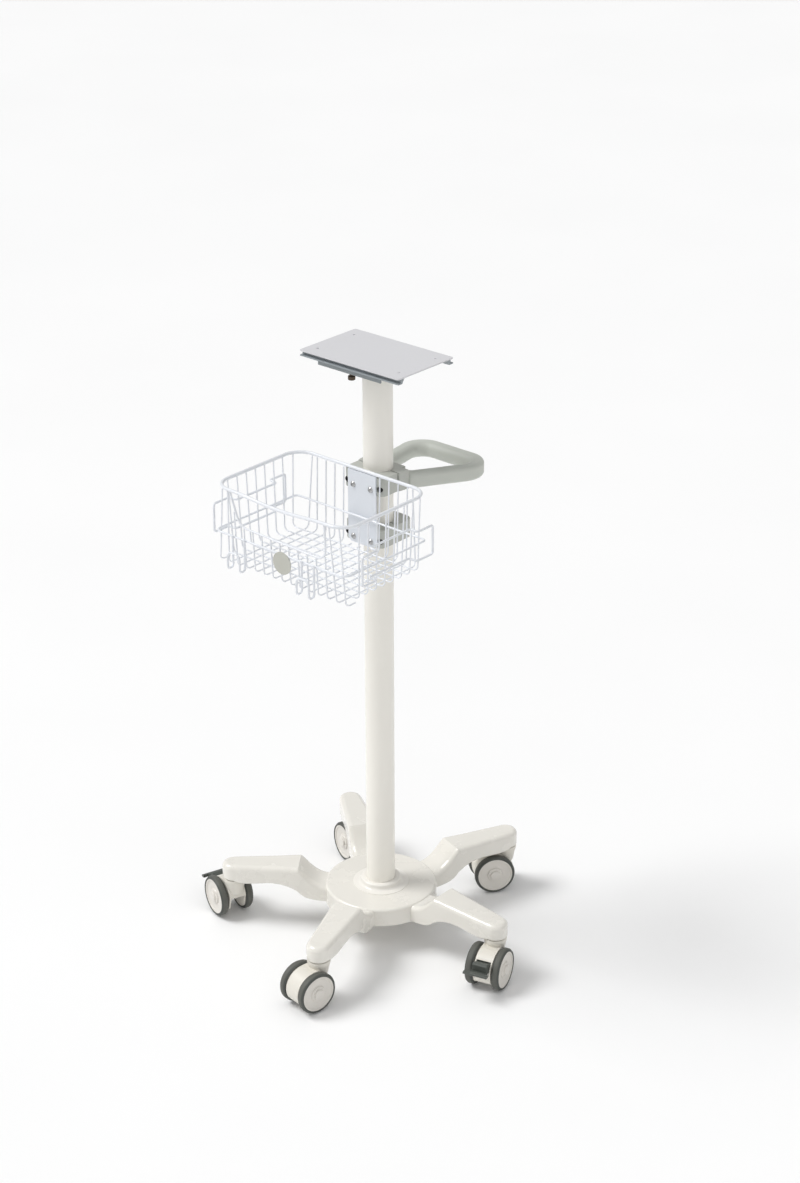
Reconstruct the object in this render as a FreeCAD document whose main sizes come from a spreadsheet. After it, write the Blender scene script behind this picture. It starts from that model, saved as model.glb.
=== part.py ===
import FreeCAD, Part
import math
import os
import Sketcher

# Five-leg roll stand for a portable ultrasound machine.
# Millimetres, +Z up.  All geometry is laid out round the pole axis and then
# moved by (shift_x, shift_y) so that the origin is the middle of the stand's
# footprint on the floor.  -Y is the basket side, +Y the push-handle side.

os.makedirs("parts", exist_ok=True)
doc = FreeCAD.newDocument("roll_stand")
sheet = doc.addObject("Spreadsheet::Sheet", "Sheet")
V3 = FreeCAD.Vector

PARAMS = [
    ("shift_x", -2.35), ("shift_y", 19.89),
    # base casting
    ("stem_circle", 266.5), ("ang_a", 216), ("ang_b", 288), ("ang_c", 0), ("ang_d", 72), ("ang_e", 144),
    ("hub_rad", 100.5), ("hub_bot", 56), ("hub_top", 89), ("hub_round", 4.5), ("boss_rad", 33), ("hub_floor", 83),
    ("tip_half", 21.3), ("tip_top", 116), ("tip_bot", 86), ("knee_half", 29.0), ("knee_top", 121.5),
    ("knee_at", 147), ("arm_wall", 4.6), ("edge_big", 9.0), ("edge_small", 2.0),
    ("collar_rad", 50), ("collar_top", 100.5),
    # pole
    ("pole_rad", 25.4), ("pole_wall", 2.0), ("pole_foot", 62), ("pole_top", 1073),
    # head
    ("plate_len", 216), ("plate_dep", 137), ("plate_th", 2.2), ("plate_z", 1094.6), ("plate_cx", -1), ("plate_cy", -2),
    ("plate_round", 3.0), ("hole_sx", 178), ("hole_sy", 89), ("hole_rad", 2.5),
    ("rail_deep", 8.6), ("bracket_x0", -77), ("bracket_x1", 60), ("bracket_y", 60.5), ("bracket_z", 1083.8),
    ("bracket_th", 2.5), ("bracket_drop", 10.5),
    ("thumb_x", -16.5), ("thumb_y", -45), ("thumb_end", 1057.4),
    # clamps and handle
    ("clamp_gap", 1.5), ("clamp_half", 44), ("clamp_front", 39), ("up_z0", 861.5), ("up_z1", 894.5),
    ("lo_z0", 767.5), ("lo_z1", 800.5), ("up_rear", 22), ("lo_rear", 42), ("up_half", 49), ("tongue_half", 33), ("tongue_y", 31), ("lo_half", 42),
    ("screw_x", 36), ("pin_x", 25.5), ("loop_z", 874.5), ("loop_w", 26.0), ("loop_tall", 27.5),
    # bracket plate and basket
    ("bp_half", 31), ("bp_z0", 766), ("bp_z1", 896.2), ("bp_th", 2.5), ("dome_x", 19.3), ("dome_up", 870.5), ("dome_lo", 776.5),
    ("rim_hx", 145.5), ("rim_y0", -243), ("rim_y1", -38.5), ("rim_z", 899.5), ("rim_wire", 6.0), ("rim_corner", 34),
    ("wire", 2.6), ("belt_wire", 3.6), ("belt_z", 818), ("floor_z", 763.5), ("foot_in", 5.0), ("wire_bend", 9),
    ("mouth_z", 833.5), ("mouth_z0", 839), ("mouth_x0", -107), ("mouth_x1", 102),
    ("wrap_out", 16.5), ("wrap_top", 853), ("wrap_bot", 802), ("wrap_wire", 4.0),
    ("hook_wire", 3.8), ("badge_rad", 19.5), ("badge_z", 804), ("badge_x", 9),
    # casters
    ("wheel_rad", 37.5), ("tyre_in", 32.0), ("tread", 14.0), ("half_track", 25.0), ("trail", 25.5), ("axle_rad", 4.0),
    ("fender_rad", 34.0), ("fender_in", 31.0), ("fender_half", 16.0), ("neck_rad", 20.3), ("neck_top", 84.4),
    ("swivel_a", 162), ("swivel_b", 261), ("swivel_c", 286), ("swivel_d", 233), ("swivel_e", 340),
    ("pedal_px", 36), ("pedal_pz", 50), ("pedal_up", -12),
]
VAL = {}
for row, (name, val) in enumerate(PARAMS, start=1):
    sheet.set("A%d" % row, name)
    sheet.set("B%d" % row, str(val))
    sheet.setAlias("B%d" % row, name)
    VAL[name] = float(val)
doc.recompute()


class Q:
    """A number that remembers how it is computed from the sheet."""

    def __init__(self, v, e):
        self.v = float(v)
        self.e = e

    def _o(self, o):
        return o if isinstance(o, Q) else Q(o, repr(float(o)))

    def __add__(self, o):
        o = self._o(o)
        return Q(self.v + o.v, "(%s + %s)" % (self.e, o.e))

    def __radd__(self, o):
        return self._o(o) + self

    def __sub__(self, o):
        o = self._o(o)
        return Q(self.v - o.v, "(%s - %s)" % (self.e, o.e))

    def __rsub__(self, o):
        return self._o(o) - self

    def __mul__(self, o):
        o = self._o(o)
        return Q(self.v * o.v, "(%s * %s)" % (self.e, o.e))

    def __rmul__(self, o):
        return self._o(o) * self

    def __truediv__(self, o):
        o = self._o(o)
        return Q(self.v / o.v, "(%s / %s)" % (self.e, o.e))

    def __neg__(self):
        return Q(-self.v, "(0 - %s)" % self.e)


def S(name):
    return Q(VAL[name], "Sheet." + name)


def num(q):
    return q.v if isinstance(q, Q) else float(q)


def bind(obj, prop, q):
    """Set a property to a number, or bind it to the sheet."""
    if isinstance(q, Q):
        obj.setExpression(prop, q.e)
    else:
        setattr(obj, prop, float(q))


def place(obj, x=0, y=0, z=0, angle=0, axis=(0, 0, 1)):
    """Place an object, every coordinate bound to the sheet."""
    obj.Placement = FreeCAD.Placement(V3(num(x), num(y), num(z)), FreeCAD.Rotation(V3(*axis), num(angle)))
    for letter, q in (("x", x), ("y", y), ("z", z)):
        if isinstance(q, Q):
            obj.setExpression(".Placement.Base." + letter, q.e)
    if isinstance(angle, Q):
        obj.setExpression(".Placement.Rotation.Angle", angle.e)
    return obj


OUT = []


def node(obj, label, shifted=True, x=None, y=None, z=0, angle=0):
    """Register a finished sub-part: its label names its file and node."""
    obj.Label = label
    if shifted:
        px = S("shift_x") if x is None else S("shift_x") + x
        py = S("shift_y") if y is None else S("shift_y") + y
        place(obj, px, py, z, angle)
    OUT.append(obj)
    return obj


def cyl(r, h, x=0, y=0, z=0, direction=(0, 0, 1)):
    o = doc.addObject("Part::Cylinder", "Cyl")
    bind(o, "Radius", r)
    bind(o, "Height", h)
    o.Placement = FreeCAD.Placement(V3(num(x), num(y), num(z)), FreeCAD.Rotation(V3(0, 0, 1), V3(*direction)))
    for letter, q in (("x", x), ("y", y), ("z", z)):
        if isinstance(q, Q):
            o.setExpression(".Placement.Base." + letter, q.e)
    return o


def box(x0, x1, y0, y1, z0, z1):
    o = doc.addObject("Part::Box", "Box")
    bind(o, "Length", x1 - x0)
    bind(o, "Width", y1 - y0)
    bind(o, "Height", z1 - z0)
    place(o, x0, y0, z0)
    return o


def cut(a, b, name="Cut"):
    o = doc.addObject("Part::Cut", name)
    o.Base, o.Tool = a, b
    return o


def fuse(parts, name="Fuse"):
    o = doc.addObject("Part::MultiFuse", name)
    o.Shapes = parts
    return o


def group(parts, name="Group"):
    o = doc.addObject("Part::Compound", name)
    o.Links = parts
    return o


def constrain_xy(sk, g, pos, x, y):
    for kind, q, axis in (("DistanceX", x, -2), ("DistanceY", y, -1)):
        if abs(num(q)) < 1e-9 and not isinstance(q, Q):
            sk.addConstraint(Sketcher.Constraint("PointOnObject", g, pos, axis))
        else:
            c = sk.addConstraint(Sketcher.Constraint(kind, -1, 1, g, pos, num(q)))
            if isinstance(q, Q):
                sk.setExpression("Constraints[%d]" % c, q.e)


def outline(sk, pts):
    """Closed outline.  pts: (x, y) for a corner, or (x, y, r) for a corner with
    a tangent arc of radius r.  Corner coordinates and radii follow the sheet."""
    n = len(pts)
    P = [V3(num(p[0]), num(p[1]), 0) for p in pts]
    R = [num(p[2]) if len(p) > 2 else 0.0 for p in pts]
    ends = []
    for i in range(n):
        a, b, c = P[i - 1], P[i], P[(i + 1) % n]
        if R[i] <= 0:
            ends.append((b, b, None))
            continue
        u, w = (a - b), (c - b)
        u.normalize()
        w.normalize()
        half = math.acos(max(-1, min(1, u.dot(w)))) / 2
        d = R[i] / math.tan(half)
        bis = (u + w)
        bis.normalize()
        ctr = b + bis * (R[i] / math.sin(half))
        ends.append((b + u * d, b + w * d, (ctr, R[i])))
    geo = []
    for i in range(n):
        if ends[i][2]:
            p, q, (ctr, r) = ends[i]
            a0 = math.atan2(p.y - ctr.y, p.x - ctr.x)
            a1 = math.atan2(q.y - ctr.y, q.x - ctr.x)
            if (a1 - a0) % (2 * math.pi) > math.pi:
                a0, a1 = a1, a0
            if a1 < a0:
                a1 += 2 * math.pi
            geo.append(("arc", i, Part.ArcOfCircle(Part.Circle(ctr, V3(0, 0, 1), r), a0, a1)))
        a, b = ends[i][1], ends[(i + 1) % n][0]
        if (b - a).Length > 1e-6:
            geo.append(("line", i, Part.LineSegment(a, b)))
    ids = [sk.addGeometry(g[2], False) for g in geo]

    # which end of each element is the start of the walk
    def end_at(k, point):
        g = sk.Geometry[ids[k]]
        return 1 if (g.StartPoint - point).Length < (g.EndPoint - point).Length else 2

    walk = []
    for k, (kind, i, g) in enumerate(geo):
        start = ends[i][0] if kind == "arc" else ends[i][1]
        s = end_at(k, start)
        walk.append((s, 3 - s))
    m = len(geo)
    for k in range(m):
        k2 = (k + 1) % m
        sk.addConstraint(Sketcher.Constraint("Coincident", ids[k], walk[k][1], ids[k2], walk[k2][0]))
    # every join is pinned to its corner; tangent arcs also carry their radius
    for k, (kind, i, g) in enumerate(geo):
        leaving_arc = kind == "arc"
        if leaving_arc:
            c = sk.addConstraint(Sketcher.Constraint("Radius", ids[k], R[i]))
            if isinstance(pts[i][2], Q):
                sk.setExpression("Constraints[%d]" % c, pts[i][2].e)
        start = ends[i][0] if leaving_arc else ends[i][1]
        off = start - P[i]
        x, y = pts[i][0], pts[i][1]
        if R[i] > 0:
            r_ = pts[i][2]
            fx, fy = off.x / R[i], off.y / R[i]
            x = x + r_ * fx if abs(fx) > 1e-9 else x
            y = y + r_ * fy if abs(fy) > 1e-9 else y
        constrain_xy(sk, ids[k], walk[k][0], x, y)
    return sk


def ring_sketch(sk, x, y, r):
    g = sk.addGeometry(Part.Circle(V3(num(x), num(y), 0), V3(0, 0, 1), num(r)), False)
    constrain_xy(sk, g, 3, x, y)
    c = sk.addConstraint(Sketcher.Constraint("Radius", g, num(r)))
    if isinstance(r, Q):
        sk.setExpression("Constraints[%d]" % c, r.e)
    return g


def plane(body, role):
    return [f for f in body.Origin.OriginFeatures if f.Role == role][0]


def body_sketch(body, name, role, offset=0):
    sk = body.newObject("Sketcher::SketchObject", name)
    sk.AttachmentSupport = [(plane(body, role), "")]
    sk.MapMode = "FlatFace"
    if isinstance(offset, Q):
        sk.AttachmentOffset = FreeCAD.Placement(V3(0, 0, offset.v), FreeCAD.Rotation())
        sk.setExpression(".AttachmentOffset.Base.z", offset.e)
    elif offset:
        sk.AttachmentOffset = FreeCAD.Placement(V3(0, 0, offset), FreeCAD.Rotation())
    return sk


def new_body(name):
    return doc.addObject("PartDesign::Body", name)


def pad(body, sk, length, name="Pad", both=False, back=False):
    f = body.newObject("PartDesign::Pad", name)
    f.Profile = sk
    bind(f, "Length", length)
    f.Midplane = both
    f.Reversed = back
    sk.Visibility = False
    return f


def revolution(body, sk, axis_role="Z_Axis", kind="PartDesign::Revolution", name="Revolve"):
    f = body.newObject(kind, name)
    f.Profile = sk
    f.ReferenceAxis = (plane(body, axis_role), [""])
    f.Angle = 360
    return f


def free_sketch(name, pts, plane_name="XZ"):
    """Stand-alone sketch for a Part revolution or extrusion."""
    sk = doc.addObject("Sketcher::SketchObject", name)
    if plane_name == "XZ":
        sk.Placement = FreeCAD.Placement(V3(0, 0, 0), FreeCAD.Rotation(V3(1, 0, 0), 90))
    elif plane_name == "YZ":
        sk.Placement = FreeCAD.Placement(V3(0, 0, 0), FreeCAD.Rotation(V3(1, 1, 1), 120))
    outline(sk, pts)
    return sk


def spun(name, pts, axis=(0, 0, 1), base=(0, 0, 0), plane_name="XZ"):
    """Solid of revolution of an outline given as (radius, height)."""
    sk = free_sketch(name + "_profile", pts, plane_name)
    o = doc.addObject("Part::Revolution", name)
    o.Source = sk
    o.Axis = V3(*axis)
    o.Base = V3(*base)
    o.Angle = 360
    o.Solid = True
    return o


def extruded(name, pts, plane_name, direction, length, base_shift=None):
    sk = free_sketch(name + "_profile", pts, plane_name)
    if base_shift is not None:
        letter, q = base_shift
        setattr(sk.Placement.Base, letter, num(q))
        sk.Placement = FreeCAD.Placement(V3(*[num(q) if c == letter else 0 for c in "xyz"]), sk.Placement.Rotation)
        if isinstance(q, Q):
            sk.setExpression(".Placement.Base." + letter, q.e)
    o = doc.addObject("Part::Extrusion", name)
    o.Base = sk
    o.DirMode = "Custom"
    o.Dir = V3(*direction)
    bind(o, "LengthFwd", length)
    o.Solid = True
    return o


# ------------------------------------------------------------------ base
def arm_section(body, name, at, half, top, bottom, r_top, r_bot):
    sk = body_sketch(body, name, "YZ_Plane", at)
    outline(sk, [(half, bottom, r_bot), (half, top, r_top), (-half, top, r_top), (-half, bottom, r_bot)])
    return sk


def loft(body, sections, name, ruled, kind="PartDesign::AdditiveLoft"):
    f = body.newObject(kind, name)
    f.Profile = sections[0]
    f.Sections = sections[1:]
    f.Ruled = ruled
    f.Closed = False
    for s in sections:
        s.Visibility = False
    return f


base = new_body("BaseCasting")
sk = body_sketch(base, "HubProfile", "XZ_Plane")
outline(sk, [
    (S("pole_rad") + 0.06, S("pole_foot")), (5.3, S("pole_foot")), (5.3, S("hub_bot")), (S("boss_rad"), S("hub_bot")),
    (S("boss_rad") - 1.5, S("hub_floor")), (S("hub_rad") - 7.0, S("hub_floor")), (S("hub_rad") - 5.0, S("hub_bot")),
    (S("hub_rad"), S("hub_bot")), (S("hub_rad") - 0.6, S("hub_top"), S("hub_round")),
    (S("pole_rad") + 0.06, S("hub_top"))])
hub = revolution(base, sk, name="Hub")
kr, kt, kh = S("knee_at"), S("knee_top"), S("knee_half")
rt, rb = S("edge_big"), S("edge_small")
secs = [
    arm_section(base, "ArmRoot", 74, kh + 1.0, kt - 35.2, 57.0, rt, rb),
    arm_section(base, "ArmHubEdge", 100, kh + 0.8, kt - 34.2, 57.2, rt, rb),
    arm_section(base, "ArmDip", 114, kh + 0.4, kt - 29.6, 58.2, rt, rb),
    arm_section(base, "ArmRise", 131, kh + 0.2, kt - 16.5, 61.8, rt, rb),
    arm_section(base, "ArmKneeIn", kr, kh, kt, 73.2, rt, rb),
]
loft_a = loft(base, secs, "ArmRootLoft", False)
secs = [
    arm_section(base, "ArmKneeOut", kr, kh, kt, 73.2, rt, rb),
    arm_section(base, "ArmBelly", 160, kh - 0.8, kt - 0.6, 80.4, rt, rb),
    arm_section(base, "ArmSlope", 176, kh - 1.9, kt - 1.4, 85.4, rt, rb),
    arm_section(base, "ArmLevel", 204, kh - 3.7, kt - 2.8, 86.6, rt, rb),
    arm_section(base, "ArmTip", S("stem_circle"), S("tip_half"), S("tip_top"), S("tip_bot"), rt, rb),
]
loft_b = loft(base, secs, "ArmSpanLoft", False)
sk = body_sketch(base, "TipProfile", "XZ_Plane")
sc = S("stem_circle")
outline(sk, [(sc, S("tip_bot")), (sc + S("tip_half"), S("tip_bot"), rb), (sc + S("tip_half"), S("tip_top"), rt), (sc, S("tip_top"))])
tip = base.newObject("PartDesign::Revolution", "ArmTipRound")
tip.Profile = sk
# vertical axis through the stem: the sketch's own edge on the stem axis
edge_id = [i for i, g in enumerate(sk.Geometry) if isinstance(g, Part.LineSegment) and abs(g.StartPoint.x - sc.v) < 1e-6 and abs(g.EndPoint.x - sc.v) < 1e-6][0]
doc.recompute()
edge_name = None
for k, e in enumerate(sk.Shape.Edges, start=1):
    if abs(e.Vertexes[0].Point.x - sc.v) < 1e-6 and abs(e.Vertexes[-1].Point.x - sc.v) < 1e-6:
        edge_name = "Edge%d" % k
tip.ReferenceAxis = (sk, [edge_name])
tip.Angle = 360
doc.recompute()
# three low ribs across the arm near its tip
ribs = []
for k in range(3):
    sk = body_sketch(base, "RibProfile%d" % k, "XZ_Plane")
    x0 = 226.0 + 6.5 * k
    zt = 118.0 - (x0 - 147.0) * 0.0502
    outline(sk, [(x0, zt - 3.0), (x0 + 1.6, zt - 3.0), (x0 + 1.6, zt - 1.55), (x0, zt - 1.47)])
    f = pad(base, sk, 13.0, "TipRib%d" % k, both=True)
    ribs.append(f)
doc.recompute()
pat = base.newObject("PartDesign::PolarPattern", "FiveArms")
pat.Originals = [loft_a, loft_b, tip] + ribs
pat.Axis = (plane(base, "Z_Axis"), [""])
pat.Angle = 360
pat.Occurrences = 5
base.Tip = pat
doc.recompute()
aw = S("arm_wall")
inner = []
for nm, at, half, top, bottom in (("HollowRoot", 60, kh - 4.2, kt - 41.5, 50.0), ("HollowDip", 112, kh - 4.4, kt - 36.0, 50.0),
                                  ("HollowRise", 131, kh - 4.6, kt - 22.5, 52.0), ("HollowKnee", kr, kh - aw, kt - 7.5, 60.0),
                                  ("HollowSpan", 204, kh - 3.7 - aw, kt - 8.5, 78.0), ("HollowEnd", 240, kh - 6.0 - aw, kt - 10.0, 80.0)):
    inner.append(arm_section(base, nm, at, half, top, bottom, 4.0, 1.0))
hollow = loft(base, inner, "ArmHollow", True, "PartDesign::SubtractiveLoft")
sk = body_sketch(base, "StemHole", "XY_Plane", S("tip_bot") - 6.0)
ring_sketch(sk, sc, 0, 5.02)
bore = base.newObject("PartDesign::Pocket", "StemBore")
bore.Profile = sk
bore.Type = 0
bore.Length = 29.0
bore.Reversed = True
# flat seat round the stem for the swivel neck
sk = body_sketch(base, "StemSeat", "XY_Plane", S("tip_bot"))
ring_sketch(sk, sc, 0, 21.0)
seat = base.newObject("PartDesign::Pocket", "StemRelief")
seat.Profile = sk
seat.Type = 0
seat.Length = 30.0
doc.recompute()
v_before = pat.Shape.Volume
v_after = seat.Shape.Volume
print("hollow and stem bore remove", round(v_before - v_after), "mm3")
pat2 = base.newObject("PartDesign::PolarPattern", "FiveHollows")
pat2.Originals = [hollow, bore, seat]
pat2.Axis = (plane(base, "Z_Axis"), [""])
pat2.Angle = 360
pat2.Occurrences = 5
base.Tip = pat2
doc.recompute()
print("base volume", round(base.Shape.Volume), "solids", len(base.Shape.Solids))
node(base, "base_casting")

pr = S("pole_rad")
collar = new_body("PoleCollar")
sk = body_sketch(collar, "CollarProfile", "XZ_Plane")
ct, cr = S("collar_top"), S("collar_rad")
outline(sk, [(pr + 0.15, S("hub_top")), (cr, S("hub_top")), (cr, S("hub_top") + 0.8), (cr - 13.0, S("hub_top") + 1.4, 6.0),
             (cr - 14.5, ct - 0.6, 3.4), (pr + 4.0, ct, 2.0), (pr + 0.15, ct - 0.6)])
revolution(collar, sk, name="Collar")
node(collar, "pole_collar")

node(cut(cut(cyl(pr, S("pole_top") - S("pole_foot"), 0, 0, S("pole_foot")),
             cyl(pr - S("pole_wall"), S("pole_top") - S("pole_foot") + 2, 0, 0, S("pole_foot") - 1)),
         cyl(0.4, 1, 0, 0, -50), "PoleTube"), "pole_tube")
node(cut(cyl(pr - S("pole_wall"), 40, 0, 0, S("pole_foot")), cyl(5.0, 42, 0, 0, S("pole_foot") - 1), "FootPlug"), "pole_foot_plug")
bolt_head = cyl(9.0, 8.0, 0, 0, S("hub_bot") - 10.0)
washer = cyl(14.0, 2.0, 0, 0, S("hub_bot") - 2.0)
shank = cyl(5.0, 40, 0, 0, S("hub_bot") - 2.0)
socket = doc.addObject("Part::Prism", "HexSocket")
socket.Polygon = 6
socket.Circumradius = 4.6
socket.Height = 5.0
place(socket, 0, 0, S("hub_bot") - 10.0)
node(cut(fuse([bolt_head, washer, shank]), socket, "PoleBolt"), "pole_bolt")
node(cut(cyl(pr - S("pole_wall"), 45, 0, 0, S("pole_top") - 45), cyl(4.0, 46, 0, 0, S("pole_top") - 45.5), "TopInsert"), "pole_top_insert")

# ------------------------------------------------------------------ head
pl, pd, pz, pcx, pcy = S("plate_len"), S("plate_dep"), S("plate_z"), S("plate_cx"), S("plate_cy")
plate = new_body("DevicePlate")
sk = body_sketch(plate, "PlateOutline", "XY_Plane", pz - S("plate_th"))
outline(sk, [(pcx - pl / 2, pcy - pd / 2), (pcx + pl / 2, pcy - pd / 2), (pcx + pl / 2, pcy + pd / 2), (pcx - pl / 2, pcy + pd / 2)])
p1 = pad(plate, sk, S("plate_th"), "PlateSheet")
doc.recompute()
sk = body_sketch(plate, "PlateHole", "XY_Plane", pz - S("plate_th"))
ring_sketch(sk, pcx - S("hole_sx") / 2, pcy - S("hole_sy") / 2, S("hole_rad"))
h1 = plate.newObject("PartDesign::Pocket", "PlateHoleCut")
h1.Profile = sk
h1.Type = 0
bind(h1, "Length", S("plate_th") + 1.0)
h1.Reversed = True
doc.recompute()
lpx = plate.newObject("PartDesign::LinearPattern", "HolesAlongX")
lpx.Originals = [h1]
lpx.Direction = (plane(plate, "X_Axis"), [""])
bind(lpx, "Length", S("hole_sx"))
lpx.Occurrences = 2
plate.Tip = lpx
doc.recompute()
sk = body_sketch(plate, "PlateHoleRear", "XY_Plane", pz - S("plate_th"))
ring_sketch(sk, pcx - S("hole_sx") / 2, pcy + S("hole_sy") / 2, S("hole_rad"))
h2 = plate.newObject("PartDesign::Pocket", "PlateHoleRearCut")
h2.Profile = sk
h2.Type = 0
bind(h2, "Length", S("plate_th") + 1.0)
h2.Reversed = True
doc.recompute()
lpx2 = plate.newObject("PartDesign::LinearPattern", "RearHolesAlongX")
lpx2.Originals = [h2]
lpx2.Direction = (plane(plate, "X_Axis"), [""])
bind(lpx2, "Length", S("hole_sx"))
lpx2.Occurrences = 2
plate.Tip = lpx2
doc.recompute()
edges = ["Edge%d" % (i + 1) for i, e in enumerate(lpx2.Shape.Edges)
         if len(e.Vertexes) == 2 and abs(e.Vertexes[0].Z - e.Vertexes[1].Z) > 1 and e.Curve.TypeId == "Part::GeomLine"
         and abs(abs(e.Vertexes[0].X - pcx.v) - pl.v / 2) < 0.01]
fl = plate.newObject("PartDesign::Fillet", "PlateCorners")
fl.Base = (lpx2, edges)
bind(fl, "Radius", S("plate_round"))
doc.recompute()
print("device plate volume", round(plate.Shape.Volume, 1), "expected about", round(pl.v * pd.v * VAL["plate_th"] - 4 * math.pi * 2.5 ** 2 * 2.2, 1))
node(plate, "device_plate")

# rails: extruded bars with an outward groove, a sloping inner face and a lip
rz = pz - S("plate_th")


def rail(name, sign, y_edge):
    s = float(sign)
    pts = [(y_edge * 1.0 + s * 15.5, rz), (y_edge + s * 7.0, rz), (y_edge + s * 7.0, rz - S("rail_deep") + 2.2),
           (y_edge + s * 0.8, rz - S("rail_deep") + 2.2), (y_edge + s * 0.8, rz - S("rail_deep")), (y_edge + s * 10.5, rz - S("rail_deep"))]
    return extruded(name, pts, "YZ", (1, 0, 0), pl - 1.0, ("x", pcx - pl / 2 + 0.5))


node(rail("FrontRail", 1, pcy - pd / 2), "plate_front_rail")
node(rail("RearRail", -1, pcy + pd / 2), "plate_rear_rail")

bz, bt, by = S("bracket_z"), S("bracket_th"), S("bracket_y")
bdrop = S("bracket_drop")
head = extruded("HeadBracket", [(-by, bz), (-by, bz - bdrop), (-by + bt, bz - bdrop), (-by + bt, bz - bt, 1.0), (by - bt - 4.0, bz - bt, 1.0),
                                (by - bt - 4.0, bz - bdrop), (by - 4.0, bz - bdrop), (by - 4.0, bz)],
                "YZ", (1, 0, 0), S("bracket_x1") - S("bracket_x0"), ("x", S("bracket_x0")))
tx, ty = S("thumb_x"), S("thumb_y")
head = cut(head, cyl(3.3, 8, tx, ty, bz - 5), "BracketThumbHole")
head = cut(head, cyl(2.7, 8, 50, 42, bz - 5), "BracketKnobHole")
for k in range(4):
    a = math.radians(45 + 90 * k)
    head = cut(head, cyl(2.7, 8, 14 * math.cos(a), 14 * math.sin(a), bz - 5), "BracketScrewHole%d" % k)
node(head, "head_bracket")
neck_plate = cut(cut(cyl(34, bz - bt - S("pole_top"), 0, 0, S("pole_top")), cyl(11.0, 12, 0, 0, S("pole_top") - 1)), cyl(0.4, 1, 0, 0, -50), "TopFlange")
for k in range(4):
    a = math.radians(45 + 90 * k)
    neck_plate = cut(neck_plate, cyl(2.7, 30, 14 * math.cos(a), 14 * math.sin(a), S("pole_top") - 2), "FlangeHole%d" % k)
node(neck_plate, "pole_top_flange")
scr = []
for k in range(4):
    a = math.radians(45 + 90 * k)
    x, y = 14 * math.cos(a), 14 * math.sin(a)
    scr.append(cut(fuse([cyl(2.6, bz + 0.1 - S("pole_top"), x, y, S("pole_top")), cyl(4.6, 2.3, x, y, bz)]), cyl(1.6, 1.6, x, y, bz + 1.0), "HeadScrew%d" % k))
node(group(scr, "HeadScrews"), "head_bracket_screws")

# thumb screw: threaded shank, black neck and a knurled head; turns to lock the plate
te = S("thumb_end")
thumb = spun("ThumbScrew", [(0, te), (6.2, te, 1.0), (6.2, te + 6.4, 1.2), (4.4, te + 7.4), (3.7, te + 8.0), (3.7, bz - bt - 0.35), (3.0, bz - bt - 0.35),
                            (3.0, rz - 0.6), (0, rz - 0.6)])
grooves = []
for k in range(12):
    a = 2 * math.pi * k / 12
    grooves.append(cyl(0.7, 8.2, tx * 0 + 6.5 * math.cos(a), 6.5 * math.sin(a), te - 0.5))
thumb = cut(thumb, fuse(grooves, "Knurl"), "ThumbKnurl")
node(thumb, "lock_screw", x=tx, y=ty)
knob = spun("DetentKnob", [(0, 1063.6), (3.6, 1063.6, 1.2), (4.6, 1070.5), (2.5, 1071.2), (2.5, rz - 1.0), (0, rz - 1.0)])
node(knob, "detent_knob", x=Q(50, "50.0"), y=Q(42, "42.0"))
dome = spun("BumperDome", [(0, bz - bt - 14.5), (5.6, bz - bt - 14.5, 4.0), (6.0, bz - bt - 4.0), (6.0, bz - bt), (0, bz - bt)])
node(dome, "bumper_dome", x=Q(-49.3, "(0 - 49.3)"), y=Q(-45, "(0 - 45.0)"))


# ------------------------------------------------------------------ clamps
def clamp_half(name, pts, z0, z1, back=False):
    b = new_body(name)
    s = body_sketch(b, name + "Outline", "XY_Plane", z0)
    outline(s, pts)
    f = pad(b, s, z1 - z0, name + "Block")
    doc.recompute()
    s2 = body_sketch(b, name + "BoreSketch", "XY_Plane", z0)
    ring_sketch(s2, 0, 0, pr + 0.04)
    c = b.newObject("PartDesign::Pocket", name + "Bore")
    c.Profile = s2
    c.Type = 1
    c.Midplane = True
    doc.recompute()
    if abs(c.Shape.Volume - f.Shape.Volume) < 1:
        c.Midplane = False
        c.Reversed = True
        doc.recompute()
    print(name, "bore removes", round(f.Shape.Volume - c.Shape.Volume))
    return b


def long_edges_fillet(b, radius, z0, z1, pick):
    tip_f = b.Tip
    names = []
    for i, e in enumerate(tip_f.Shape.Edges):
        vs = e.Vertexes
        if len(vs) == 2 and abs(vs[0].Z - vs[1].Z) < 1e-6 and pick(e):
            names.append("Edge%d" % (i + 1))
    fl_ = b.newObject("PartDesign::Fillet", b.Name + "Soft")
    fl_.Base = (tip_f, names)
    fl_.Radius = radius
    doc.recompute()
    if fl_.Shape.isNull() or not fl_.Shape.isValid() or "Invalid" in fl_.State:
        b.removeObject(fl_)
        doc.removeObject(fl_.Name)
        b.Tip = tip_f
        doc.recompute()
        print(b.Name, "soft edges left out")


gp, cf, ch = S("clamp_gap"), S("clamp_front"), S("clamp_half")
sx, ux, lx = S("screw_x"), S("up_half"), S("lo_half")
u0, u1, l0, l1 = S("up_z0"), S("up_z1"), S("lo_z0"), S("lo_z1")


def outer(e):
    # an outline edge is any horizontal edge that is not on the bore
    m = e.valueAt((e.FirstParameter + e.LastParameter) / 2)
    return math.hypot(m.x, m.y) > VAL["pole_rad"] + 1.0 and abs(m.y) > VAL["clamp_gap"] + 0.01


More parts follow.
